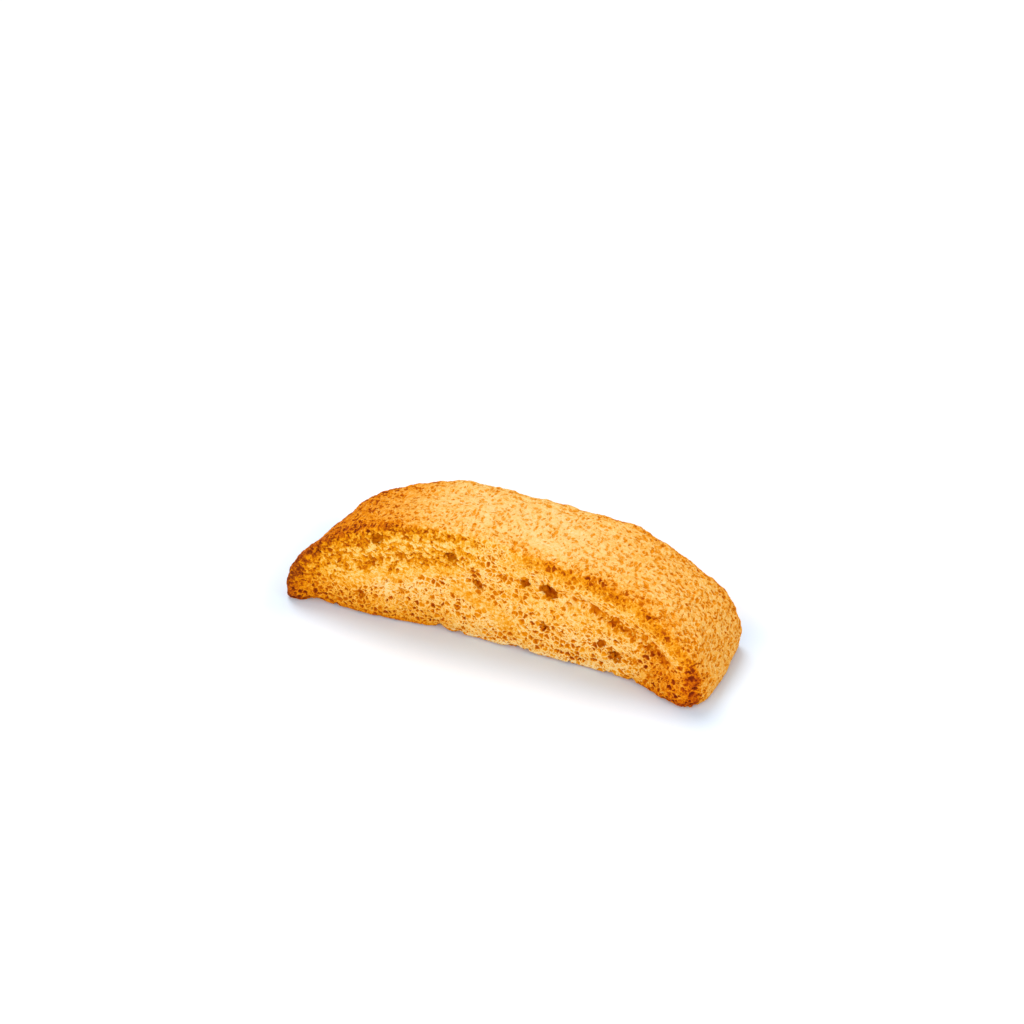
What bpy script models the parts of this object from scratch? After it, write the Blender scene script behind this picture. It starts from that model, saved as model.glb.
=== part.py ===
"""One biscotto: a twice-baked slice of a domed loaf, standing on the loaf's flat underside.

Run it with: blender --background --python part.py

+X runs along the slice from its slender tip to its blunt heel, +Y through its thickness,
and +Z is up. The origin is at the bottom centre of its box. The slice is one solid: two cut
faces of open crumb, the domed crust between them, and the flat base that lay on the tray.
"""

import math

import bmesh
import bpy
from mathutils import Vector, noise

MM = 0.001

# The slice as it comes off the loaf
LENGTH = 120.0 * MM
CROWN_HEIGHT = 34.0 * MM
CROWN_PLACE = 0.397  # share of the length, from the tip
TIP_HEIGHT = 7.0 * MM  # where the dome meets the end face at the slender tip
HEEL_HEIGHT = 6.5 * MM  # the upright skirt at the blunt heel
TIP_STEEPNESS, TIP_FULLNESS = 2.0, 1.39
HEEL_STEEPNESS, HEEL_FULLNESS = 3.3, 1.50
SLUMP = 1.7 * MM  # the dome sags a little past its crown, most of all along the front
SLUMP_PLACE, SLUMP_REACH = 0.63, 0.12
TIP_TILT = 0.30  # share of the tip's height that its crust loses towards the back
TIP_TILT_END = 0.17
HEEL_TILT = 0.085  # share of the heel's height that its crust loses towards the front
HEEL_TILT_START, HEEL_TILT_FULL = 0.66, 0.82

# The cut faces seen from above: distances from the middle plane
FRONT_MIDDLE = 11.1 * MM
FRONT_TIP = 12.8 * MM
FRONT_STEP_START, FRONT_STEP_END = 0.20, 0.42  # where the front face draws in
BACK_MIDDLE = 12.9 * MM
BACK_TAPER = 17.5 * MM  # how far the back face closes in at the slender tip
BACK_TAPER_END, BACK_TAPER_POWER = 0.50, 2.4
BACK_BELLY = 2.1 * MM
BACK_BELLY_PLACE, BACK_BELLY_REACH = 0.72, 0.17
BACK_HEEL_FLARE = 0.5 * MM
BACK_HEEL_REACH = 0.08
TIP_FLARE = 1.9 * MM
TIP_FLARE_PLACE, TIP_FLARE_REACH = 0.015, 0.04
TOE_FLARE = 5.0 * MM  # the heel's front corner stands out, most of all at the base
TOE_FLARE_LOST = 0.30  # share of that flare that is gone at the crust
TOE_PLACE, TOE_REACH = 0.948, 0.096

# Rounding of the edges: the crust rolls over into the cut faces, the base is nearly square
RIDGE_DROP = 3.6 * MM
RIDGE_SETBACK = 2.6 * MM
BASE_RISE = 1.2 * MM
BASE_SETBACK = 1.0 * MM
# Corners seen from above: (reach along the slice, reach through it)
TIP_FRONT_CORNER = (3.0 * MM, 3.0 * MM)
TIP_BACK_CORNER = (5.0 * MM, 3.4 * MM)
HEEL_FRONT_CORNER = (6.0 * MM, 7.5 * MM)
HEEL_BACK_CORNER = (2.7 * MM, 2.8 * MM)
HEEL_UNDERCUT = 1.6 * MM  # the heel's foot stands in from the crust above it
HEEL_FOOT = 6.0 * MM
CRUST_BULGE = 0.7 * MM  # the crust is a little higher in the middle of the thickness

# The crease under the crust, where the crumb tore as the loaf was sliced
CREASE_DROP = 9.0 * MM
CREASE_DEPTH = 1.5 * MM
CREASE_WIDTH = 1.7 * MM
CREASE_START, CREASE_FULL = 0.545, 0.65
CREASE_FADE, CREASE_END = 0.86, 0.965
LIP_SWELL = 0.6 * MM
HOLLOW_DEPTH = 0.9 * MM  # the softer crumb of the tip's half has sunk
HOLLOW_PLACE, HOLLOW_REACH = 0.293, 0.126
HOLLOW_HEIGHT, HOLLOW_RISE = 19.0 * MM, 5.0 * MM

# Unevenness
LUMP_SIZE, LUMP_HEIGHT = 15.0 * MM, 0.75 * MM
RIPPLE_SIZE, RIPPLE_HEIGHT = 5.0 * MM, 0.45 * MM
RAGGED_SIZE, RAGGED_DEPTH = 3.4 * MM, 0.9 * MM
RAGGED_RISE = 3.0 * MM  # how far up from the base the cut edge is ragged
RAGGED_REACH = 5.0 * MM  # how far in under the base it is
NOISE_SEED = Vector((3.1, 7.7, 1.9))

# Breaks in the front base edge: (share of the length, depth, half width)
BASE_NOTCHES = (
    (0.075, 1.6 * MM, 1.5 * MM),
    (0.362, 2.1 * MM, 1.5 * MM),
)

# Bubbles that the knife opened: (share of the length, height, radius, depth of the centre)
FRONT_BUBBLES = (
    (0.229, 27.0 * MM, 1.7 * MM, 0.3 * MM),
    (0.394, 26.0 * MM, 1.6 * MM, 0.5 * MM),
    (0.4615, 19.0 * MM, 1.3 * MM, 0.4 * MM),
    (0.565, 23.6 * MM, 1.4 * MM, 0.4 * MM),
    (0.620, 22.6 * MM, 2.2 * MM, 0.5 * MM),
    (0.611, 11.0 * MM, 1.5 * MM, 0.4 * MM),
    (0.744, 10.0 * MM, 1.3 * MM, 0.3 * MM),
    (0.772, 7.0 * MM, 1.9 * MM, 0.4 * MM),
    (0.185, 7.4 * MM, 1.3 * MM, 0.4 * MM),
)
BACK_BUBBLES = (
    (0.26, 16.0 * MM, 1.6 * MM, 0.4 * MM),
    (0.41, 24.5 * MM, 1.9 * MM, 0.5 * MM),
    (0.52, 9.5 * MM, 1.5 * MM, 0.4 * MM),
    (0.66, 20.5 * MM, 2.0 * MM, 0.5 * MM),
    (0.79, 12.0 * MM, 1.4 * MM, 0.3 * MM),
)
BUBBLE_SUBDIVISIONS = 2

# The lattice that the faces are shaped on
LENGTH_CUTS, THICKNESS_CUTS, HEIGHT_CUTS = 67, 9, 13

# Baked dough: linear colour
CRUMB_COLOUR = (0.78, 0.40, 0.08, 1.0)
CRUMB_ROUGHNESS = 0.85


def smoothstep(low, high, value):
    """0 below low, 1 above high, and a smooth ramp between them."""
    t = min(1.0, max(0.0, (value - low) / (high - low)))
    return t * t * (3.0 - 2.0 * t)


def bell(value, centre, reach):
    """A smooth hump of height 1 at the centre."""
    return math.exp(-(((value - centre) / reach) ** 2))


def dome_height(share, centred=0.0):
    """Height of the crust at a share of the length from the tip.

    centred runs from -1 on the front cut face to 1 on the back one.
    """
    if share < CROWN_PLACE:
        away = (CROWN_PLACE - share) / CROWN_PLACE
        foot, steepness, fullness = TIP_HEIGHT, TIP_STEEPNESS, TIP_FULLNESS
    else:
        away = (share - CROWN_PLACE) / (1.0 - CROWN_PLACE)
        foot, steepness, fullness = HEEL_HEIGHT, HEEL_STEEPNESS, HEEL_FULLNESS
    rise = max(0.0, 1.0 - away**steepness) ** (1.0 / fullness)
    slump = SLUMP * (0.6 - 0.4 * centred) * bell(share, SLUMP_PLACE, SLUMP_REACH)
    tip_tilt = TIP_TILT * (1.0 - smoothstep(0.0, TIP_TILT_END, share))
    heel_tilt = HEEL_TILT * smoothstep(HEEL_TILT_START, HEEL_TILT_FULL, share)
    tilt = 0.5 * (tip_tilt * (1.0 + centred) + heel_tilt * (1.0 - centred))
    return (foot + (CROWN_HEIGHT - foot) * rise) * (1.0 - tilt) - slump


def front_plane(share, level=0.0):
    """Y of the front cut face, which bows in between the tip and the flared toe."""
    drawn_in = smoothstep(FRONT_STEP_START, FRONT_STEP_END, share)
    tip = (FRONT_TIP - FRONT_MIDDLE) * (1.0 - drawn_in)
    flare = TIP_FLARE * bell(share, TIP_FLARE_PLACE, TIP_FLARE_REACH)
    toe = TOE_FLARE * (1.0 - TOE_FLARE_LOST * level) * bell(share, TOE_PLACE, TOE_REACH)
    return -(FRONT_MIDDLE + tip + flare + toe)


def back_plane(share):
    """Y of the back cut face, which closes in towards the tip."""
    away = max(0.0, 1.0 - share / BACK_TAPER_END)
    belly = BACK_BELLY * bell(share, BACK_BELLY_PLACE, BACK_BELLY_REACH)
    flare = BACK_HEEL_FLARE * bell(share, 1.0, BACK_HEEL_REACH)
    return BACK_MIDDLE - BACK_TAPER * away**BACK_TAPER_POWER + belly + flare


def spread(value):
    """Moves lattice lines on -1..1 towards both ends, where the edges are rounded."""
    return 0.45 * value + 0.55 * math.sin(0.5 * math.pi * value)


def rounded(first, second):
    """Turns a square corner into a round one: both run from 0 to 1, which is on the face."""
    length = math.hypot(first, second)
    shrink = max(first, second) / length if length > 0.0 else 1.0
    return first * shrink, second * shrink


def corner_reach(share, across):
    """How far the rounding of the nearest upright edge reaches, along and through."""
    if share < 0.5:
        return TIP_FRONT_CORNER if across < 0.0 else TIP_BACK_CORNER
    return HEEL_FRONT_CORNER if across < 0.0 else HEEL_BACK_CORNER


def rim_rounding(to_rim, to_level, setback, reach):
    """Inset and shift of a point near an edge that runs around the slice."""
    rim, level = max(0.0, 1.0 - to_rim / setback), max(0.0, 1.0 - to_level / reach)
    round_rim, round_level = rounded(rim, level)
    return (rim - round_rim) * setback, (level - round_level) * reach


def slice_point(along, across, up):
    """The place of a lattice point: along and across run from -1 to 1, and up from 0 to 1."""
    share = 0.5 * (spread(along) + 1.0)
    level = 0.5 * (spread(2.0 * up - 1.0) + 1.0)
    height = dome_height(share)
    half = 0.5 * (back_plane(share) - front_plane(share, level))
    to_end = min(share, 1.0 - share) * LENGTH
    to_face = (1.0 - abs(spread(across))) * half
    to_rim = min(to_end, to_face)

    drop = min(RIDGE_DROP, 0.4 * height)
    top_inset, sunk = rim_rounding(to_rim, (1.0 - level) * height, RIDGE_SETBACK, drop)
    base_inset, raised = rim_rounding(to_rim, level * height, BASE_SETBACK, BASE_RISE)
    inset = top_inset + base_inset
    level += (raised - sunk) / height

    reach_x, reach_y = corner_reach(share, across)
    corner_x, corner_y = max(0.0, 1.0 - to_end / reach_x), max(0.0, 1.0 - to_face / reach_y)
    round_x, round_y = rounded(corner_x, corner_y)
    if corner_x > 0.0:
        to_end = reach_x * (1.0 - round_x * (1.0 - inset / reach_x))
    if corner_y > 0.0:
        to_face = reach_y * (1.0 - round_y * (1.0 - inset / reach_y))

    share = to_end / LENGTH if share < 0.5 else 1.0 - to_end / LENGTH
    front, back = front_plane(share, level), back_plane(share)
    to_face *= 0.5 * (back - front) / half
    y = front + to_face if across < 0.0 else back - to_face
    centred = (y - 0.5 * (front + back)) / (0.5 * (back - front))
    z = level * dome_height(share, centred) + CRUST_BULGE * (1.0 - centred**2) * level**3
    foot = 1.0 - smoothstep(0.0, HEEL_FOOT, z)
    undercut = HEEL_UNDERCUT * foot * smoothstep(0.90, 1.0, share) * (0.6 - 0.4 * centred)
    return Vector((share * LENGTH - 0.5 * LENGTH - undercut, y, z))


def share_of(point):
    return point.x / LENGTH + 0.5


def crease_depth(point, share):
    """How far the torn crease and the hollow crumb sink into a cut face at a point."""
    under_crust = dome_height(share, 1.0 if point.y > 0.0 else -1.0) - point.z
    begun = smoothstep(CREASE_START, CREASE_FULL, share)
    ended = 1.0 - smoothstep(CREASE_FADE, CREASE_END, share)
    crease = CREASE_DEPTH * bell(under_crust, CREASE_DROP, CREASE_WIDTH)
    lip = LIP_SWELL * bell(under_crust, 0.5 * CREASE_DROP, CREASE_WIDTH)
    hollow = bell(share, HOLLOW_PLACE, HOLLOW_REACH) * bell(point.z, HOLLOW_HEIGHT, HOLLOW_RISE)
    return (crease - lip) * begun * ended + HOLLOW_DEPTH * hollow


def broken_edge(point, share, front):
    """How far the crumbly base edge of a cut face is broken back at a point."""
    face = front_plane(share) if front else back_plane(share)
    under = 1.0 - smoothstep(0.0, RAGGED_REACH, abs(point.y - face))
    low = 1.0 - smoothstep(0.0, RAGGED_RISE, point.z)
    grain = noise.noise(Vector((point.x, point.z, 0.0)) / RAGGED_SIZE + NOISE_SEED)
    depth = RAGGED_DEPTH * max(0.0, grain if front else -grain)
    if front:
        for place, notch_depth, half_width in BASE_NOTCHES:
            depth += notch_depth * bell(share * LENGTH, place * LENGTH, half_width)
    return depth * low * under


def unevenness(point):
    """Height of the dough's lumps and ripples at a point."""
    lumps = noise.noise(point / LUMP_SIZE + NOISE_SEED)
    ripples = noise.noise(point / RIPPLE_SIZE - NOISE_SEED)
    return LUMP_HEIGHT * lumps + RIPPLE_HEIGHT * ripples


def lattice_box():
    """A box on -1..1 along X and Y and 0..1 along Z, with its faces cut into a lattice."""
    box = bmesh.new()
    bmesh.ops.create_cube(box, size=2.0)
    for axis, cuts in enumerate((LENGTH_CUTS, THICKNESS_CUTS, HEIGHT_CUTS)):
        edges = [
            edge
            for edge in box.edges
            if abs(edge.verts[0].co[axis] - edge.verts[1].co[axis]) > 1e-6
        ]
        bmesh.ops.subdivide_edges(box, edges=edges, cuts=cuts, use_grid_fill=True)
    for vertex in box.verts:
        vertex.co.z = 0.5 * (vertex.co.z + 1.0)
    return box


def shape_slice(box):
    """Moves the lattice onto the slice, then sinks and ruffles its surface."""
    lattice = {vertex: vertex.co.copy() for vertex in box.verts}
    for vertex, place in lattice.items():
        vertex.co = slice_point(*place)
    box.normal_update()
    moved = {}
    for vertex, place in lattice.items():
        point, share = vertex.co, share_of(vertex.co)
        inward = 1.0 if point.y < 0.0 else -1.0
        broken = broken_edge(point, share, point.y < 0.0)
        moved[vertex] = point + Vector((0.0, broken * inward, 0.0))
        if place.z > 1e-6:
            cut = smoothstep(0.55, 0.95, abs(vertex.normal.y))
            above_base = smoothstep(0.0, 2.0 * MM, point.z)
            swell = unevenness(point) * above_base - crease_depth(point, share) * cut
            moved[vertex] += vertex.normal * swell
    for vertex, place in moved.items():
        vertex.co = place
        vertex.co.z = max(0.0, vertex.co.z)


def centre_on_base(box):
    """Puts the origin at the bottom centre of the box around the slice."""
    places = [vertex.co for vertex in box.verts]
    low = Vector(min(place[axis] for place in places) for axis in range(3))
    high = Vector(max(place[axis] for place in places) for axis in range(3))
    middle = 0.5 * (low + high)
    middle.z = low.z
    bmesh.ops.translate(box, verts=box.verts, vec=-middle)


def dough_material():
    """Pale golden crumb, matt and dry."""
    material = bpy.data.materials.new("baked_dough")
    material.use_nodes = True
    shader = material.node_tree.nodes["Principled BSDF"]
    shader.inputs["Base Color"].default_value = CRUMB_COLOUR
    shader.inputs["Roughness"].default_value = CRUMB_ROUGHNESS
    shader.inputs["Metallic"].default_value = 0.0
    material.diffuse_color = CRUMB_COLOUR
    return material


def face_y(mesh_object, x, z, front):
    """Y of the cut face under a point that lies at x and z."""
    side = -1.0 if front else 1.0
    start = Vector((x, side * LENGTH, z))
    _, place, _, _ = mesh_object.ray_cast(start, Vector((0.0, -side, 0.0)))
    return place.y


def bubble_cutter(mesh_object, bubbles, front):
    """One cutter mesh with a lumpy ball for each opened bubble of a cut face."""
    balls = bmesh.new()
    side = -1.0 if front else 1.0
    for share, z, radius, sunk in bubbles:
        x = (share - 0.5) * LENGTH
        y = face_y(mesh_object, x, z, front) - side * sunk
        made = bmesh.ops.create_icosphere(
            balls, subdivisions=BUBBLE_SUBDIVISIONS, radius=radius
        )
        for vertex in made["verts"]:
            lump = noise.noise(vertex.co / radius + Vector((x, y, z)) / MM)
            vertex.co *= 1.0 + 0.30 * lump
            vertex.co += Vector((x, y, z))
    mesh = bpy.data.meshes.new("bubbles")
    balls.to_mesh(mesh)
    balls.free()
    cutter = bpy.data.objects.new("front_bubbles" if front else "back_bubbles", mesh)
    bpy.context.scene.collection.objects.link(cutter)
    cutter.hide_render = True
    cutter.display_type = "WIRE"
    return cutter


def build_biscotto():
    box = lattice_box()
    shape_slice(box)
    centre_on_base(box)
    mesh = bpy.data.meshes.new("biscotto")
    box.to_mesh(mesh)
    box.free()
    mesh.shade_smooth()
    mesh.materials.append(dough_material())
    biscotto = bpy.data.objects.new("biscotto", mesh)
    bpy.context.scene.collection.objects.link(biscotto)
    bpy.context.view_layer.update()
    for bubbles, front in ((FRONT_BUBBLES, True), (BACK_BUBBLES, False)):
        opened = biscotto.modifiers.new("opened_bubbles", "BOOLEAN")
        opened.operation = "DIFFERENCE"
        opened.object = bubble_cutter(biscotto, bubbles, front)
    return biscotto


def clear_scene():
    for item in list(bpy.data.objects):
        bpy.data.objects.remove(item)


clear_scene()
build_biscotto()
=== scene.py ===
"""Looks of one biscotto: a twice-baked slice with a golden crust and open, browned crumb.

The slice's solid gives the shape. A copy of it is made into an even mesh, its crumb is opened
and its crust pricked in real relief, and one baked dough, browned by how hot each place baked,
colours it from the same bubbles and pores, with painted shade darkening its pits, dents and
hollows.
"""

import math

import bpy
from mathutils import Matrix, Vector


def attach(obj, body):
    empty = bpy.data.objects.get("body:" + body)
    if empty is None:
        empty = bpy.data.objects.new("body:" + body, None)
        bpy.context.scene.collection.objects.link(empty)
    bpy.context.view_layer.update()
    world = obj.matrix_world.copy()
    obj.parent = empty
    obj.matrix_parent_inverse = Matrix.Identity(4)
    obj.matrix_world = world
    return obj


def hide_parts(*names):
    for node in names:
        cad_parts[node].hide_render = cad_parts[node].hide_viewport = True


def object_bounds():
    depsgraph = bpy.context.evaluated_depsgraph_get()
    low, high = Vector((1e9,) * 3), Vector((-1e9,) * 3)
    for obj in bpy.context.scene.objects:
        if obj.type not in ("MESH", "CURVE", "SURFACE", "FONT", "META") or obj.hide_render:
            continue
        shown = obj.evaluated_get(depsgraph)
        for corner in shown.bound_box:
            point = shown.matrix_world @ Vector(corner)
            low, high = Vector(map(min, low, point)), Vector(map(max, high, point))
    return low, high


bl_info = {
    "name": "Baked Biscotto",
    "version": (1, 0, 0),
    "blender": (4, 5, 0),
    "location": "3D View > Sidebar > Biscotto",
    "description": "Dresses the solid of a biscotto with its crust, crumb and browning",
    "category": "Add Mesh",
}

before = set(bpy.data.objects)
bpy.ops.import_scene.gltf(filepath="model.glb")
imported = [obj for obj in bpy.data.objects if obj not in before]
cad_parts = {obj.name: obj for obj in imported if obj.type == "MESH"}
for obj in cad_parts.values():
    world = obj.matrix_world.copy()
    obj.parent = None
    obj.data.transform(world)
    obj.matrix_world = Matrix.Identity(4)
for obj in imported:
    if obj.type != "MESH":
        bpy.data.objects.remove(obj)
CAD_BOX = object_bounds()
NODE = "biscotto"
PIECE = "baked_biscotto"
MM = 0.001

# The solid's own bubbles, opened by the saw and painted darker inside as painted shade: along,
# height, radius, share.
FRONT_BUBBLES = (
    (-37.8, 7.4, 1.3, 1.0),
    (-32.5, 27.0, 1.7, 1.0),
    (-12.7, 26.0, 1.6, 1.0),
    (-4.6, 19.0, 1.3, 1.0),
    (7.8, 23.6, 1.4, 1.0),
    (14.0, 22.6, 2.5, 1.0),
    (13.3, 11.0, 1.5, 1.0),
    (29.3, 10.0, 1.3, 1.0),
    (32.6, 7.0, 1.9, 1.0),
)
BACK_BUBBLES = (
    (-28.8, 16.0, 1.6, 1.0),
    (-10.8, 24.5, 1.9, 1.0),
    (2.4, 9.5, 1.5, 1.0),
    (19.2, 20.5, 2.0, 1.0),
    (34.8, 12.0, 1.4, 1.0),
)

# Hollows torn in the front face, in mm: place along the slice, height, radius, depth. The dough
# paints them darker the deeper they are, as painted shade.
FRONT_HOLLOWS = (
    (-50.0, 17.3, 1.1, 0.5),
    (-43.7, 5.4, 0.9, 0.6),
    (-35.0, 19.2, 1.9, 0.7),
    (-31.5, 20.3, 1.2, 0.5),
    (-26.6, 10.6, 1.3, 0.6),
    (-26.5, 22.4, 2.0, 0.8),
    (-22.1, 24.0, 1.5, 0.6),
    (-6.2, 22.6, 1.7, 0.6),
    (-5.8, 19.6, 1.7, 0.4),
    (1.6, 23.6, 1.2, 0.7),
    (8.4, 22.6, 1.4, 0.4),
    (15.2, 22.0, 2.0, 0.4),
    (17.8, 22.2, 1.2, 0.7),
    (19.6, 19.9, 0.7, 0.6),
    (21.2, 21.4, 1.3, 0.8),
    (23.9, 20.6, 0.8, 0.6),
    (26.2, 20.9, 0.6, 0.5),
    (29.4, 19.1, 1.3, 0.8),
    (32.4, 17.6, 1.4, 0.8),
    (37.8, 17.0, 1.2, 0.7),
    (41.0, 16.6, 1.4, 0.9),
    (43.2, 14.8, 1.3, 0.8),
    (46.0, 11.6, 1.2, 0.7),
    (17.5, 9.3, 1.1, 0.6),
    (38.5, 7.5, 1.4, 0.7),
    (43.0, 4.8, 1.2, 0.6),
    (53.5, 9.6, 1.1, 0.5),
)
BACK_HOLLOWS = (
    (-41.0, 11.0, 1.3, 0.6),
    (-28.8, 16.0, 1.8, 0.6),
    (-20.0, 24.5, 1.4, 0.7),
    (-10.8, 24.5, 2.1, 0.6),
    (-7.0, 22.0, 1.3, 0.8),
    (2.4, 9.5, 1.6, 0.5),
    (9.0, 19.5, 1.5, 0.8),
    (19.2, 20.5, 2.2, 0.6),
    (23.0, 18.5, 1.3, 0.8),
    (34.8, 12.0, 1.5, 0.6),
    (40.0, 15.0, 1.3, 0.7),
)
CRUST_HOLLOWS = (
    (-31.3, 2.3, 0.9, 0.45),
    (-27.4, 5.7, 0.8, 0.4),
    (-14.3, 6.3, 0.7, 0.35),
    (-12.3, -6.3, 0.9, 0.45),
    (-10.0, -8.6, 0.8, 0.4),
    (5.9, -6.3, 0.8, 0.35),
    (24.0, 4.0, 0.7, 0.3),
    (38.0, -4.0, 0.8, 0.35),
    (45.0, 6.5, 0.7, 0.3),
)


def linear(hex_colour):
    """An sRGB hex colour as linear red, green, blue and alpha."""
    parts = [int(hex_colour[i : i + 2], 16) / 255.0 for i in (1, 3, 5)]
    bent = [p / 12.92 if p <= 0.04045 else ((p + 0.055) / 1.055) ** 2.4 for p in parts]
    return (*bent, 1.0)


# Baked dough from palest to darkest: it browns along one path, whatever the place, and painted
# shade darkens it along the same path.
BROWNING = (
    ("palest", 0.00, "#FCDDA6"),
    ("straw", 0.15, "#F9CC7A"),
    ("golden", 0.30, "#F4B03C"),
    ("amber", 0.45, "#EC9208"),
    ("toasted", 0.60, "#D47404"),
    ("darkened", 0.75, "#B45206"),
    ("deep_brown", 0.88, "#943C08"),
    ("darkest", 1.00, "#762C0A"),
)


class BiscottoSettings(bpy.types.PropertyGroup):
    """What a user would change about the slice's looks."""

    mesh_size: bpy.props.FloatProperty(
        name="Mesh Size",
        description="Edge of the even mesh that the crumb is opened in",
        default=0.26 * MM,
        subtype="DISTANCE",
        unit="LENGTH",
    )
    triangles: bpy.props.IntProperty(
        name="Triangles",
        description="Most triangles that the finished slice may have",
        default=194000,
    )
    crumb_cell: bpy.props.FloatProperty(
        name="Crumb Cell",
        description="Distance between neighbouring bubbles of the crumb",
        default=1.45 * MM,
        subtype="DISTANCE",
        unit="LENGTH",
    )
    crumb_depth: bpy.props.FloatProperty(
        name="Crumb Depth",
        description="How deep the opened bubbles of the crumb are",
        default=0.5 * MM,
        subtype="DISTANCE",
        unit="LENGTH",
    )
    pore_spacing: bpy.props.FloatProperty(
        name="Pore Spacing",
        description="Distance between the small pores of the crust",
        default=0.98 * MM,
        subtype="DISTANCE",
        unit="LENGTH",
    )
    pore_depth: bpy.props.FloatProperty(
        name="Pore Depth",
        description="How deep the pores of the crust are",
        default=0.22 * MM,
        subtype="DISTANCE",
        unit="LENGTH",
    )
    floor_colour: bpy.props.FloatVectorProperty(
        name="Floor",
        description="The plain floor under the slice",
        subtype="COLOR",
        size=4,
        default=linear("#FAFCFF"),
    )


def add(tree, kind, *inputs, out=0, at=None, **settings):
    """Adds a node, sets it up, and links or fills its inputs in order, or those named in at."""
    node = tree.nodes.new(kind)
    for name, value in settings.items():
        setattr(node, name, value)
    for key, value in [*enumerate(inputs), *(at or {}).items()]:
        if isinstance(value, bpy.types.NodeSocket):
            tree.links.new(value, node.inputs[key])
        elif value is not None:
            node.inputs[key].default_value = value
    return node.outputs[out]


MATH, MAP = "ShaderNodeMath", "ShaderNodeMapRange"
VECTOR, MIX, SPLIT = "ShaderNodeVectorMath", "ShaderNodeMix", "ShaderNodeSeparateXYZ"
NOISE, CELLS = "ShaderNodeTexNoise", "ShaderNodeTexVoronoi"
EASE = {"interpolation_type": "SMOOTHSTEP"}


# ---------------------------------------------------------------- bubbles and pores, in mm


def pushed(tree, place, size, amount):
    """A place pushed about by noise of a size, so that nothing keeps a straight edge."""
    drift = add(tree, NOISE, place, None, 1.0 / size, 1.0, out=1)
    drift = add(tree, VECTOR, drift, (0.5, 0.5, 0.5), operation="SUBTRACT")
    drift = add(tree, VECTOR, drift, at={"Scale": amount * 2.4}, operation="SCALE")
    return add(tree, VECTOR, place, drift)


def bubbles(tree, place, size):
    """Bubbles of a size: how far a place is from their walls and middles, and two chances."""
    fit = {"Scale": 1.0 / size}
    edge = add(tree, CELLS, place, at=fit, feature="DISTANCE_TO_EDGE")
    middle = add(tree, CELLS, place, at=fit)
    chance = add(tree, SPLIT, middle.node.outputs[1])
    return edge, middle, [chance.node.outputs[index] for index in range(2)]


def foam(tree, place, size):
    """Open crumb, some large bubbles packed with small ones: crisply outlined and darkening to
    their middles as painted shade, and as bowls.
    """
    edge, middle, chance = bubbles(tree, place, size)
    small_edge, small_middle, small_chance = bubbles(tree, place, 0.5 * size)
    packed = stretch_of(tree, chance[0], 0.55, 0.45)
    weak = add(tree, MAP, small_chance[0], 0.0, 1.0, 0.55, 1.0)
    tight = product(
        tree,
        stretch_of(tree, small_edge, 0.02, 0.16),
        stretch_of(tree, small_middle, 0.90, 0.64),
        weak,
    )
    fill = add(tree, MIX, packed, None, 1.0, tight)
    deep = add(tree, MAP, chance[1], 0.0, 1.0, 0.62, 1.08)
    bowl = product(tree, stretch_of(tree, edge, 0.02, 0.34), deep)
    # Painted shade: the outlined net darkens towards each bowl's middle, where the relief sinks
    # deepest.
    painted_bowl_shade = add(tree, MAP, bowl, 0.0, 1.0, 0.58, 1.2)
    round_ = stretch_of(tree, middle, 0.90, 0.64)
    net = product(tree, stretch_of(tree, edge, 0.015, 0.12), round_, fill, deep, painted_bowl_shade)
    return net, add(tree, MIX, packed, None, bowl, product(tree, bowl, tight)), tight


def pricks(tree, place, size, widest, edge, wider=0.0):
    """Small pores scattered at a spacing, each with its own width and a crisp edge."""
    near = add(tree, CELLS, place, at={"Scale": 1.0 / size})
    chance = add(tree, SPLIT, near.node.outputs[1])
    near = add(tree, MATH, chance, 0.30, near, operation="MULTIPLY_ADD")
    near = add(tree, MATH, near, wider, operation="SUBTRACT")
    return stretch_of(tree, near, widest, widest - edge)


def textures(tree, place, crumb, pore):
    """The slice's bubbles, pores and grain at a place in mm, each from 0 to 1."""
    loose = pushed(tree, place, 1.0, 0.48)
    fine = pushed(tree, loose, 0.5, 0.2)
    net, bowl, tight = foam(tree, fine, crumb)
    puffs = add(tree, NOISE, loose, None, 1.0 / 1.5, 3.0, 0.6)
    grain = add(tree, NOISE, fine, None, 1.0 / 0.75, 2.0, 0.65)
    turn = add(tree, NOISE, place, None, 1.0 / 6.0, 0.0)
    long_ways = add(tree, VECTOR, fine, (0.60, 1.0, 1.0), operation="MULTIPLY")
    cross_ways = add(tree, VECTOR, fine, (1.0, 0.52, 1.0), operation="MULTIPLY")
    heel = stretch_of(tree, add(tree, SPLIT, place), 14.0, 46.0, 0.06)
    along = pricks(tree, long_ways, pore, 0.56, 0.10, heel)
    across = pricks(tree, cross_ways, pore, 0.56, 0.10, heel)
    return {
        "net": net,
        "bowl": bowl,
        "tight": tight,
        "puffs": stretch_of(tree, puffs, 0.40, 0.62),
        "grain": add(tree, MAP, grain, 0.30, 0.70, -1.0, 1.0),
        "pores": add(tree, MIX, stretch_of(tree, turn, 0.46, 0.54), None, along, across),
        "specks": pricks(tree, fine, 0.55 * pore, 0.52, 0.18),
    }


# ---------------------------------------------------------------- the slice's relief


def stretch_of(tree, value, start, end, share=1.0):
    """How far a value has come from start to end, eased, times a share."""
    return add(tree, MAP, value, start, end, 0.0, share, **EASE)


def total(tree, *values):
    """The sum of several values."""
    reached = values[0]
    for value in values[1:]:
        reached = add(tree, MATH, reached, value)
    return reached


def product(tree, *values):
    """The product of several values."""
    reached = values[0]
    for value in values[1:]:
        reached = add(tree, MATH, reached, value, operation="MULTIPLY")
    return reached


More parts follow.
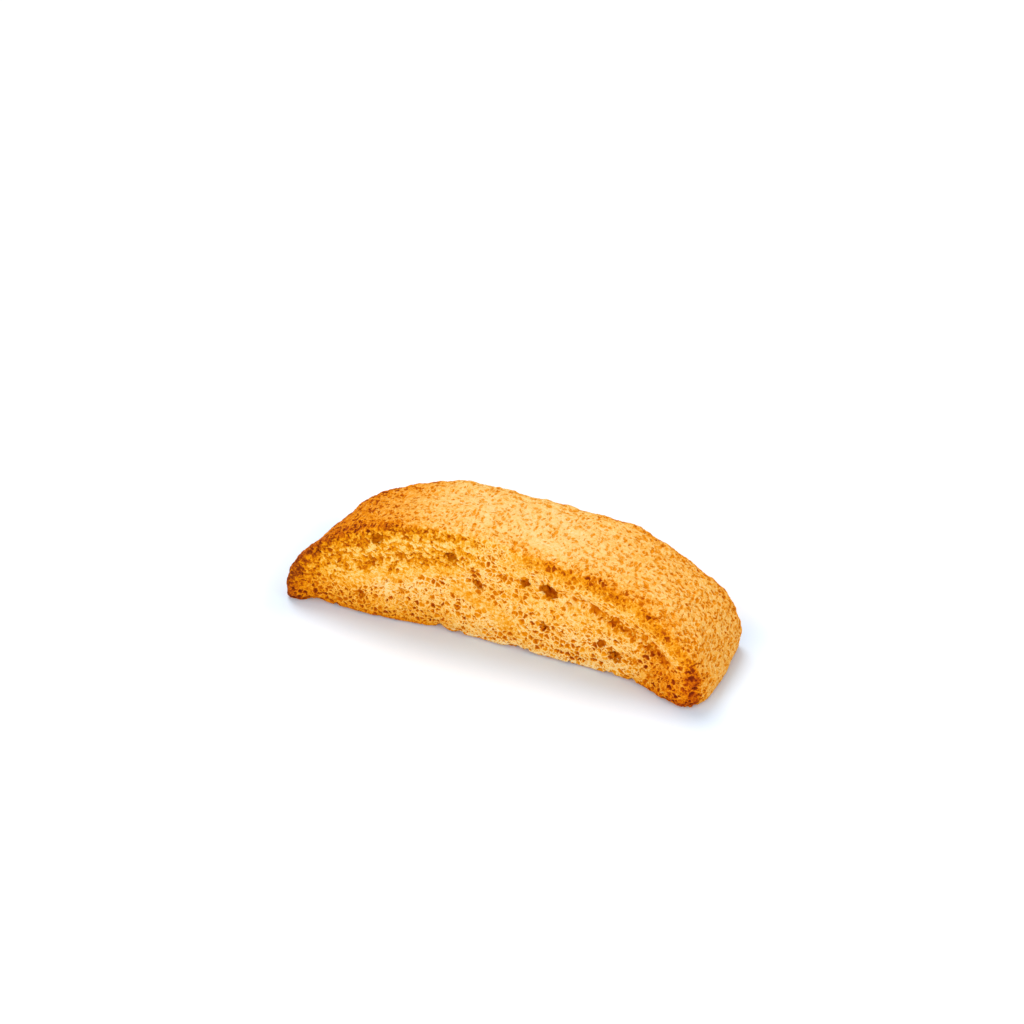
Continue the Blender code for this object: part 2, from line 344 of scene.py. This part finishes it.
def torn(tree, place, spots, flat):
    """Hollows at listed spots, seen flat along one axis: their shape times their depth in mm."""
    deepest = None
    for first, second, radius, depth in spots:
        centre = (first, 0.0, second) if flat == "y" else (first, second, 0.0)
        level = (1.0, 0.0, 1.0) if flat == "y" else (1.0, 1.0, 0.0)
        gap = add(tree, VECTOR, place, centre, operation="SUBTRACT")
        gap = add(tree, VECTOR, gap, level, operation="MULTIPLY")
        gap = add(tree, VECTOR, gap, operation="LENGTH", out=1)
        shape = add(tree, MAP, gap, radius * 1.15, radius * 0.45, 0.0, depth, **EASE)
        deepest = shape if deepest is None else add(tree, MATH, deepest, shape, operation="MAXIMUM")
    return deepest


def widened(spots):
    """Spots with room for the crumbled rim around each."""
    return [(along, height, 1.45 * radius, share) for along, height, radius, share in spots]


def relief_tree(settings):
    """Geometry nodes that open the crumb, prick the crust and note how each place baked, and how
    deep its dents and hollows lie for the dough's painted shade.
    """
    tree = bpy.data.node_groups.new("crumb_relief", "GeometryNodeTree")
    tree.interface.new_socket("Geometry", in_out="INPUT", socket_type="NodeSocketGeometry")
    tree.interface.new_socket("Geometry", in_out="OUTPUT", socket_type="NodeSocketGeometry")
    source = add(tree, "NodeGroupInput")
    position = add(tree, "GeometryNodeInputPosition")
    here = add(tree, VECTOR, position, at={"Scale": 1.0 / MM}, operation="SCALE")
    normal = add(tree, "GeometryNodeInputNormal")
    blur = {"data_type": "FLOAT_VECTOR"}
    steady = add(tree, "GeometryNodeBlurAttribute", normal, 12, **blur)
    steady = add(tree, VECTOR, steady, operation="NORMALIZE")
    broad = add(tree, "GeometryNodeBlurAttribute", steady, 110, **blur)
    broad = add(tree, VECTOR, broad, operation="NORMALIZE")

    def noted(geometry, name, value, kind="FLOAT"):
        """The geometry with a value stored on its points; and the value, read back."""
        geometry = add(
            tree,
            "GeometryNodeStoreNamedAttribute",
            geometry,
            at={"Name": name, "Value": value},
            data_type=kind,
            domain="POINT",
        )
        return geometry, add(tree, "GeometryNodeInputNamedAttribute", name, data_type=kind)

    slice_, way = noted(source, "way_out", steady, "FLOAT_VECTOR")
    slice_, place = noted(slice_, "rest", here, "FLOAT_VECTOR")
    along, across, height = (add(tree, SPLIT, place, out=axis) for axis in range(3))
    slice_, side = noted(slice_, "broad_side", broad, "FLOAT_VECTOR")
    out_y, out_z = (add(tree, SPLIT, side, out=axis) for axis in (1, 2))

    # Which skin a point has: sawn crumb at front and back, baked crust over the top and ends.
    fray = add(tree, NOISE, place, None, 1.0 / 1.8, 3.0)
    lean = add(tree, MATH, out_y, operation="ABSOLUTE")
    lean = total(tree, lean, add(tree, MAP, fray, 0.25, 0.75, -0.14, 0.14))
    slice_, cut = noted(slice_, "cut", stretch_of(tree, lean, 0.52, 0.80))
    slice_, base = noted(slice_, "base", stretch_of(tree, out_z, -0.45, -0.85))
    is_cut = add(tree, MATH, cut, 0.5, operation="GREATER_THAN")
    is_top = add(tree, MATH, out_z, -0.3, operation="GREATER_THAN")
    is_crust = product(tree, add(tree, MATH, 1.0, is_cut, operation="SUBTRACT"), is_top)
    rims = []
    for side in (is_crust, is_cut):
        part = add(tree, "GeometryNodeSeparateGeometry", slice_, side)
        reach = add(tree, "GeometryNodeProximity", part, out=1, target_element="FACES")
        rims.append(add(tree, MATH, reach, 1.0 / MM, operation="MULTIPLY"))
    slice_, below_crust = noted(slice_, "below_crust", rims[0])
    slice_, beyond_cut = noted(slice_, "beyond_cut", rims[1])

    # Where the heat went, as an even drift over the slice.
    drift = add(tree, NOISE, place, None, 1.0 / 9.0, 3.0, 0.6)
    drift = add(tree, MAP, drift, 0.25, 0.75, -1.0, 1.0)
    wander = add(tree, MATH, drift, 4.0, along, operation="MULTIPLY_ADD")
    patchy = add(tree, NOISE, place, None, 1.0 / 2.2, 3.0, 0.65)
    rim = product(
        tree,
        stretch_of(tree, below_crust, 4.6, 0.4),
        stretch_of(tree, beyond_cut, 4.0, 0.2),
        add(tree, MAP, patchy, 0.36, 0.62, 0.60, 1.08),
    )
    tip = stretch_of(tree, wander, -42.0, -57.0)
    toe = product(tree, stretch_of(tree, wander, 34.0, 52.0), stretch_of(tree, height, 18.0, 8.0))
    slice_, toe = noted(slice_, "toe", toe)
    crust_brown = total(
        tree,
        stretch_of(tree, wander, -10.0, -48.0, 0.40),
        stretch_of(tree, wander, 12.0, 62.0, 0.10),
        product(tree, rim, stretch_of(tree, wander, -12.0, -32.0, 0.16)),
        product(tree, rim, stretch_of(tree, wander, 6.0, 30.0, 0.14)),
        product(tree, tip, 0.08),
    )
    low = stretch_of(tree, height, 3.2, 0.6)
    lower_left = product(
        tree, stretch_of(tree, height, 13.0, 3.0), stretch_of(tree, wander, -2.0, -22.0)
    )
    cut_brown = total(
        tree,
        product(tree, tip, 0.18),
        product(tree, toe, 0.25),
        product(tree, lower_left, 0.15),
        product(tree, rim, stretch_of(tree, wander, -10.0, -30.0, 0.22)),
        product(tree, rim, stretch_of(tree, wander, 4.0, 14.0, 0.27)),
        product(tree, low, stretch_of(tree, wander, -14.0, -24.0, 0.15)),
        product(tree, low, stretch_of(tree, wander, 30.0, 40.0, 0.20)),
    )
    paled = product(
        tree,
        stretch_of(tree, height, 2.4, 0.8),
        stretch_of(tree, along, -17.0, -12.0),
        stretch_of(tree, along, 33.0, 27.0),
    )
    cut_brown = total(tree, cut_brown, product(tree, paled, -0.16))
    brown = add(tree, MIX, cut, None, crust_brown, cut_brown)
    brown = total(tree, brown, product(tree, drift, 0.05))
    slice_, brown = noted(slice_, "brown", brown)

    # How the crumb tore: an open net low down, fluff below the left of the crust, smears between.
    rising = add(tree, MATH, along, -0.35, height, operation="MULTIPLY_ADD")
    rising = add(tree, MATH, drift, 1.6, rising, operation="MULTIPLY_ADD")
    falling = add(tree, MATH, along, 0.53, height, operation="MULTIPLY_ADD")
    falling = add(tree, MATH, drift, 1.6, falling, operation="MULTIPLY_ADD")
    off_rising = add(tree, MATH, rising, 25.3, operation="SUBTRACT")
    off_rising = add(tree, MATH, off_rising, operation="ABSOLUTE")
    off_falling = add(tree, MATH, falling, 10.9, operation="SUBTRACT")
    off_falling = add(tree, MATH, off_falling, operation="ABSOLUTE")
    fluffy = product(
        tree, stretch_of(tree, rising, 24.5, 28.0), stretch_of(tree, wander, 0.0, -10.0)
    )
    smeared = total(
        tree,
        product(
            tree,
            stretch_of(tree, off_rising, 3.0, 0.8),
            stretch_of(tree, wander, -47.0, -41.0),
            stretch_of(tree, wander, -7.0, -14.0),
        ),
        product(
            tree,
            stretch_of(tree, off_falling, 4.5, 1.4),
            stretch_of(tree, wander, -17.0, -11.0),
            stretch_of(tree, wander, 12.0, 5.0),
        ),
        product(
            tree, stretch_of(tree, height, 11.0, 15.5), stretch_of(tree, wander, -4.0, 6.0, 0.5)
        ),
    )
    slice_, fluffy = noted(slice_, "fluffy", fluffy)
    slice_, smeared = noted(slice_, "smeared", smeared)

    made = textures(tree, place, settings.crumb_cell / MM, settings.pore_spacing / MM)
    ragged = pushed(tree, place, 1.2, 1.0)
    is_front = add(tree, MATH, out_y, -0.3, operation="LESS_THAN")
    is_back = add(tree, MATH, out_y, 0.3, operation="GREATER_THAN")
    is_roof = add(tree, MATH, out_z, 0.5, operation="GREATER_THAN")
    hollows = total(
        tree,
        product(tree, torn(tree, ragged, FRONT_HOLLOWS, "y"), is_front),
        product(tree, torn(tree, ragged, BACK_HOLLOWS, "y"), is_back),
        product(tree, torn(tree, ragged, CRUST_HOLLOWS, "z"), is_roof),
    )
    chain = add(tree, MATH, along, 0.45, height, operation="MULTIPLY_ADD")
    chain = add(tree, MATH, drift, 0.8, chain, operation="MULTIPLY_ADD")
    chain = add(tree, MATH, chain, 32.3, operation="SUBTRACT")
    chain = add(tree, MATH, chain, operation="ABSOLUTE")
    chain = product(
        tree,
        stretch_of(tree, chain, 1.5, 0.4),
        stretch_of(tree, along, 15.0, 24.0),
        stretch_of(tree, along, 50.0, 45.0),
        stretch_of(tree, patchy, 0.40, 0.52, 0.9),
        is_front,
    )
    hollows = add(tree, MATH, hollows, chain, operation="MAXIMUM")
    hollows = product(tree, hollows, add(tree, MAP, made["grain"], -1.0, 1.0, 0.45, 1.35))
    # The torn hollows' depth, noted also for the dough's painted shade.
    slice_, hollows = noted(slice_, "torn", hollows)
    # The opened bubbles' shape, noted so the dough paints them darker inside, as painted shade.
    darkened = total(
        tree,
        product(tree, torn(tree, ragged, FRONT_BUBBLES, "y"), is_front),
        product(tree, torn(tree, ragged, BACK_BUBBLES, "y"), is_back),
    )
    slice_, _ = noted(slice_, "bubble", darkened)
    around = total(
        tree,
        product(tree, torn(tree, place, widened(FRONT_BUBBLES), "y"), is_front),
        product(tree, torn(tree, place, widened(BACK_BUBBLES), "y"), is_back),
    )
    crumbled = add(tree, VECTOR, pushed(tree, place, 0.9, 0.9), place, operation="SUBTRACT")
    crumbled = add(tree, VECTOR, crumbled, at={"Scale": around}, operation="SCALE")
    crumbled = add(tree, VECTOR, crumbled, at={"Scale": MM}, operation="SCALE")

    lacy = total(
        tree,
        stretch_of(tree, beyond_cut, 6.0, 0.3),
        stretch_of(tree, along, 16.0, 46.0, 0.50),
        stretch_of(tree, wander, -36.0, -50.0, 0.7),
    )
    lacy = add(tree, MATH, lacy, 1.0, operation="MINIMUM")
    slice_, lacy = noted(slice_, "lacy", lacy)
    calm = add(tree, MAP, smeared, 0.0, 1.0, 1.0, 0.25)
    crumb_mm = settings.crumb_depth / MM
    pore_mm = settings.pore_depth / MM
    net_mm = add(tree, MIX, fluffy, None, crumb_mm, 0.6 * crumb_mm)
    opened = total(
        tree,
        product(tree, made["bowl"], calm, net_mm),
        product(tree, made["puffs"], fluffy, calm, 0.75 * crumb_mm),
    )
    pricked = total(
        tree,
        product(tree, made["pores"], pore_mm),
        product(tree, made["bowl"], lacy, 0.4 * crumb_mm),
    )
    sunk = add(tree, MIX, cut, None, pricked, opened)
    lumps = add(tree, NOISE, place, None, 1.0 / 3.2, 3.0, 0.55)
    lumps = add(tree, MAP, lumps, 0.25, 0.75, 0.30, -0.30)
    swells = add(tree, NOISE, place, None, 1.0 / 8.0, 1.0)
    swells = add(tree, MAP, swells, 0.30, 0.70, 0.16, -0.24)
    sunk = total(tree, sunk, lumps, swells, hollows)
    sunk = product(tree, sunk, stretch_of(tree, base, 1.0, 0.0), -MM)
    push = add(tree, VECTOR, way, at={"Scale": sunk}, operation="SCALE")
    bites = add(tree, NOISE, place, None, 1.0 / 4.0, 3.0, 0.6)
    bites = stretch_of(tree, bites, 0.50, 0.66, 1.1 * MM)
    bites = product(
        tree, bites, stretch_of(tree, height, 2.6, 0.2), stretch_of(tree, beyond_cut, 2.4, 0.1)
    )
    lift = add(tree, "ShaderNodeCombineXYZ", at={2: bites})
    push = add(tree, VECTOR, add(tree, VECTOR, push, lift), crumbled)
    slice_ = add(tree, "GeometryNodeSetPosition", slice_, at={"Offset": push})

    # How far each place lies below its smoothed surroundings, in wide hollows and small dents,
    # noted for the dough's painted shade.
    now = add(tree, "GeometryNodeInputPosition")
    facing = add(tree, "GeometryNodeInputNormal")
    for name, rounds in (("hollow_shade", 120), ("dent_shade", 6)):
        even = add(tree, "GeometryNodeBlurAttribute", now, rounds, **blur)
        gap = add(tree, VECTOR, even, now, operation="SUBTRACT")
        deep = add(tree, VECTOR, gap, way, operation="DOT_PRODUCT", out=1)
        slice_, _ = noted(slice_, name, add(tree, MATH, deep, 1.0 / MM, operation="MULTIPLY"))
    end = tree.nodes.new("NodeGroupOutput")
    tree.links.new(slice_, end.inputs[0])
    return tree


def dough_material(settings):
    """Baked egg dough: dry and matt, with painted shade and the painted glow of scattered light in
    its pits, pores and hollows.
    """
    material = bpy.data.materials.new("baked_egg_dough")
    material.use_nodes = True
    tree = material.node_tree
    shader = tree.nodes["Principled BSDF"]
    shader.inputs["IOR"].default_value = 1.45
    shader.inputs["Specular IOR Level"].default_value = 0.03

    def read(name, out=2):
        """A value that the relief noted on the slice."""
        return add(tree, "ShaderNodeAttribute", attribute_name=name, out=out)

    place = read("rest", 1)
    cut, base, brown = read("cut"), read("base"), read("brown")
    fluffy, smeared, torn_shade = read("fluffy"), read("smeared"), read("torn")
    made = textures(tree, place, settings.crumb_cell / MM, settings.pore_spacing / MM)
    blotch = add(tree, NOISE, place, None, 1.0 / 1.6, 4.0, 0.6)
    blotch = add(tree, MAP, blotch, 0.25, 0.75, -1.0, 1.0)
    stirred = product(tree, made["grain"], total(tree, 0.08, product(tree, brown, 0.20)))
    # The crumb's pits and the hollows of its fluff are darker: partly the crumb's own colour,
    # partly painted shade and the painted glow of light scattered in them.
    puffs = total(
        tree, 0.10, product(tree, made["puffs"], 0.60), product(tree, made["net"], 0.42)
    )
    airy = add(tree, MIX, fluffy, None, made["net"], puffs)
    airy = add(tree, MIX, smeared, None, airy, product(tree, made["net"], 0.35))
    fading = add(tree, MAP, brown, 0.0, 0.4, 0.56, 0.36)
    opened = total(
        tree,
        0.115,
        product(tree, airy, fading),
        product(tree, smeared, 0.13),
        product(tree, smeared, made["grain"], 0.10),
        product(tree, blotch, 0.06),
        stirred,
        product(tree, brown, 1.25),
    )
    heel = stretch_of(tree, add(tree, SPLIT, place), 10.0, 46.0)
    # The crust's pores, specks and lace are darker amber: partly the dough's own colour, partly
    # painted shade and the painted glow of light scattered in them.
    specks = product(tree, made["specks"], add(tree, MAP, heel, 0.0, 1.0, 0.38, 0.30))
    wide = product(tree, made["pores"], add(tree, MAP, heel, 0.0, 1.0, 0.64, 0.60))
    pores = total(tree, wide, specks)
    pores = total(tree, pores, product(tree, made["net"], read("lacy"), 0.60))
    pricked = total(
        tree,
        0.17,
        product(tree, pores, 0.36),
        product(tree, blotch, 0.06),
        stirred,
        product(tree, brown, add(tree, MAP, pores, 0.0, 1.0, 0.84, 1.14)),
    )
    heat_and_shade = add(tree, MIX, cut, None, pricked, opened)
    # Painted shade: small dents are darkened.
    heat_and_shade = total(tree, heat_and_shade, stretch_of(tree, read("dent_shade"), 0.02, 0.25, 0.05))
    # Painted shade: the torn hollows darken with their depth.
    heat_and_shade = total(tree, heat_and_shade, product(tree, torn_shade, 0.40))
    # Painted shade: hollows and opened bubbles are darker inside, the deeper the darker.
    holes = add(
        tree,
        MATH,
        stretch_of(tree, read("hollow_shade"), 0.38, 0.66),
        stretch_of(tree, total(tree, read("bubble"), product(tree, blotch, 0.26)), 0.14, 0.32),
        operation="MAXIMUM",
    )
    hole_depth_shade = stretch_of(tree, read("hollow_shade"), 0.3, 1.4, 0.16)
    hole_depth_shade = total(tree, 0.57, hole_depth_shade, product(tree, blotch, 0.12))
    heat_and_shade = add(tree, MIX, holes, None, heat_and_shade, hole_depth_shade)
    pan = total(tree, 0.52, product(tree, made["specks"], 0.18), product(tree, blotch, 0.07))
    heat_and_shade = add(tree, MIX, base, None, heat_and_shade, pan)
    ramp = tree.nodes.new("ShaderNodeValToRGB")
    stops = ramp.color_ramp.elements
    for index, (_, stop, colour) in enumerate(BROWNING):
        element = stops[index] if index < len(stops) else stops.new(stop)
        element.position, element.color = stop, linear(colour)
    tree.links.new(heat_and_shade, ramp.inputs[0])
    # The crust dries duller than the crumb, but not in its pores; the toe bakes the reddest.
    pale = product(tree, stretch_of(tree, cut, 0.8, 0.2), stretch_of(tree, heat_and_shade, 0.54, 0.30))
    glow = add(tree, MAP, pale, 0.0, 1.0, 1.0, 0.96)
    shine = add(tree, MAP, pale, 0.0, 1.0, 1.0, 0.95)
    hue = total(tree, product(tree, read("toe"), cut, -0.006), product(tree, fluffy, cut, 0.004))
    hue = total(tree, hue, 0.5)
    colour = add(tree, "ShaderNodeHueSaturation", hue, glow, shine, 1.0, ramp.outputs[0])
    tree.links.new(colour, shader.inputs["Base Color"])
    rough = add(tree, MAP, heat_and_shade, 0.0, 1.0, 0.86, 0.72)
    tree.links.new(rough, shader.inputs["Roughness"])
    grit = add(tree, NOISE, place, None, 1.0 / 0.35, 3.0, 0.6)
    pitted = add(tree, MIX, cut, None, pores, made["tight"])
    skin = total(tree, product(tree, grit, 0.10), product(tree, pitted, -0.08))
    bump = add(tree, "ShaderNodeBump", 0.6, MM, at={"Height": skin})
    tree.links.new(bump, shader.inputs["Normal"])
    return material


class BISCOTTO_OT_slice(bpy.types.Operator):
    """Make the baked slice from the solid's copy"""

    bl_idname = "biscotto.slice"
    bl_label = "Baked Slice"

    def execute(self, context):
        settings = context.scene.biscotto
        piece = bpy.data.objects.new(PIECE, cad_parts[NODE].data.copy())
        context.scene.collection.objects.link(piece)
        bpy.ops.object.select_all(action="DESELECT")
        piece.select_set(True)
        context.view_layer.objects.active = piece
        bpy.ops.object.mode_set(mode="EDIT")
        bpy.ops.mesh.select_all(action="SELECT")
        bpy.ops.mesh.remove_doubles(threshold=0.01 * MM)
        bpy.ops.object.mode_set(mode="OBJECT")
        rounded = piece.modifiers.new("rounded", "SUBSURF")
        rounded.levels = rounded.render_levels = 1
        even = piece.modifiers.new("even_mesh", "REMESH")
        even.mode = "VOXEL"
        even.voxel_size = settings.mesh_size
        calmed = piece.modifiers.new("calmed", "SMOOTH")
        calmed.iterations = 8
        relief = piece.modifiers.new("relief", "NODES")
        relief.node_group = relief_tree(settings)
        for name in ("rounded", "even_mesh", "calmed", "relief"):
            bpy.ops.object.modifier_apply(modifier=name)
        faces = sum(len(face.vertices) - 2 for face in piece.data.polygons)
        thinned = piece.modifiers.new("thinned", "DECIMATE")
        thinned.ratio = min(1.0, settings.triangles / faces)
        bpy.ops.object.modifier_apply(modifier="thinned")
        piece.data.shade_smooth()
        piece.data.materials.clear()
        piece.data.materials.append(dough_material(settings))
        print("triangles before", faces, "after", len(piece.data.polygons))
        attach(piece, "root")
        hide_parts(NODE)
        return {"FINISHED"}


# ---------------------------------------------------------------- the stage


def soft_light(kind, name, place, width, power):
    """A soft studio light of a kind that faces the slice."""
    bpy.ops.object.light_add(type=kind, location=place)
    lamp = bpy.context.active_object
    lamp.name = name
    lamp.rotation_euler = (-Vector(place)).to_track_quat("-Z", "Y").to_euler()
    lamp.data.energy = power
    if kind == "SUN":
        lamp.data.angle = width
    else:
        lamp.data.size = width


class BISCOTTO_OT_stage(bpy.types.Operator):
    """Set the floor, the soft lights and the camera"""

    bl_idname = "biscotto.stage"
    bl_label = "Stage"

    def execute(self, context):
        settings = context.scene.biscotto
        bpy.ops.object.select_all(action="DESELECT")
        bpy.ops.mesh.primitive_plane_add(size=8.0, location=(0.0, 0.0, 0.0))
        floor = context.active_object
        floor.name = "floor"
        paint = bpy.data.materials.new("white_backdrop_paper")
        paint.use_nodes = True
        shader = paint.node_tree.nodes["Principled BSDF"]
        # Beside the slice the paper is painted cool: a painted tint on its shadow that evens out
        # the warm light the crust throws on it, so the shadow looks grey.
        tree = paint.node_tree
        gap = add(tree, "ShaderNodeTexCoord", out=3)
        gap = add(tree, VECTOR, gap, operation="ABSOLUTE")
        gap = add(tree, VECTOR, gap, Vector(CAD_BOX[1]) * 0.97, operation="SUBTRACT")
        gap = add(tree, VECTOR, gap, (0.0, 0.0, 0.0), operation="MAXIMUM")
        gap = add(tree, VECTOR, gap, operation="LENGTH", out=1)
        clear_of_painted_tint = stretch_of(tree, gap, 0.001, 0.016)
        painted_shadow_tint = add(
            tree, MIX, clear_of_painted_tint, out=2, data_type="RGBA",
            at={6: linear("#E3F1FF"), 7: settings.floor_colour},
        )
        tree.links.new(painted_shadow_tint, shader.inputs["Base Color"])
        shader.inputs["Roughness"].default_value = 0.9
        shader.inputs["Specular IOR Level"].default_value = 0.0
        floor.data.materials.append(paint)

        soft_light("SUN", "key_light", (-0.30, 0.28, 0.85), math.radians(28.0), 1.35)
        soft_light("AREA", "fill_light", (-0.15, -0.80, 0.45), 0.70, 3.2)
        soft_light("AREA", "side_light", (0.80, -0.10, 0.40), 0.60, 1.7)
        world = bpy.data.worlds.new("studio")
        world.use_nodes = True
        backdrop = world.node_tree.nodes["Background"]
        backdrop.inputs["Color"].default_value = (1.0, 1.0, 1.0, 1.0)
        # The studio's walls look as white as the paper, and light the slice less than that.
        glow = add(world.node_tree, MAP, add(world.node_tree, "ShaderNodeLightPath"), 0, 1, 0.6, 1)
        world.node_tree.links.new(glow, backdrop.inputs["Strength"])
        context.scene.world = world
        context.scene.view_settings.view_transform = "Standard"

        azimuth, elevation, distance = math.radians(22.0), math.radians(40.0), 0.608
        target = Vector((1.92, -4.7, 14.0)) * MM
        back = Vector(
            (
                math.sin(azimuth) * math.cos(elevation),
                -math.cos(azimuth) * math.cos(elevation),
                math.sin(elevation),
            )
        )
        above = back.cross(Vector((math.cos(azimuth), math.sin(azimuth), 0.0)))
        bpy.ops.object.camera_add(location=target + back * distance)
        camera = context.active_object
        camera.name = "camera"
        aim = target + above * 20.8 * MM - camera.location
        camera.rotation_euler = aim.to_track_quat("-Z", "Y").to_euler()
        camera.data.lens = 82.3
        camera.data.sensor_width = 36.0
        context.scene.camera = camera
        return {"FINISHED"}


class BISCOTTO_PT_panel(bpy.types.Panel):
    """Lists the slice's settings and steps"""

    bl_label = "Biscotto"
    bl_idname = "BISCOTTO_PT_panel"
    bl_space_type = "VIEW_3D"
    bl_region_type = "UI"
    bl_category = "Biscotto"

    def draw(self, context):
        settings = context.scene.biscotto
        for name in BiscottoSettings.__annotations__:
            self.layout.prop(settings, name)
        for step in (BISCOTTO_OT_slice, BISCOTTO_OT_stage):
            self.layout.operator(step.bl_idname)


CLASSES = (BiscottoSettings, BISCOTTO_OT_slice, BISCOTTO_OT_stage, BISCOTTO_PT_panel)


def register():
    for kind in CLASSES:
        bpy.utils.register_class(kind)
    bpy.types.Scene.biscotto = bpy.props.PointerProperty(type=BiscottoSettings)


def unregister():
    del bpy.types.Scene.biscotto
    for kind in reversed(CLASSES):
        bpy.utils.unregister_class(kind)


def main():
    register()
    bpy.ops.biscotto.slice()
    bpy.ops.biscotto.stage()


if __name__ == "__main__":
    main()
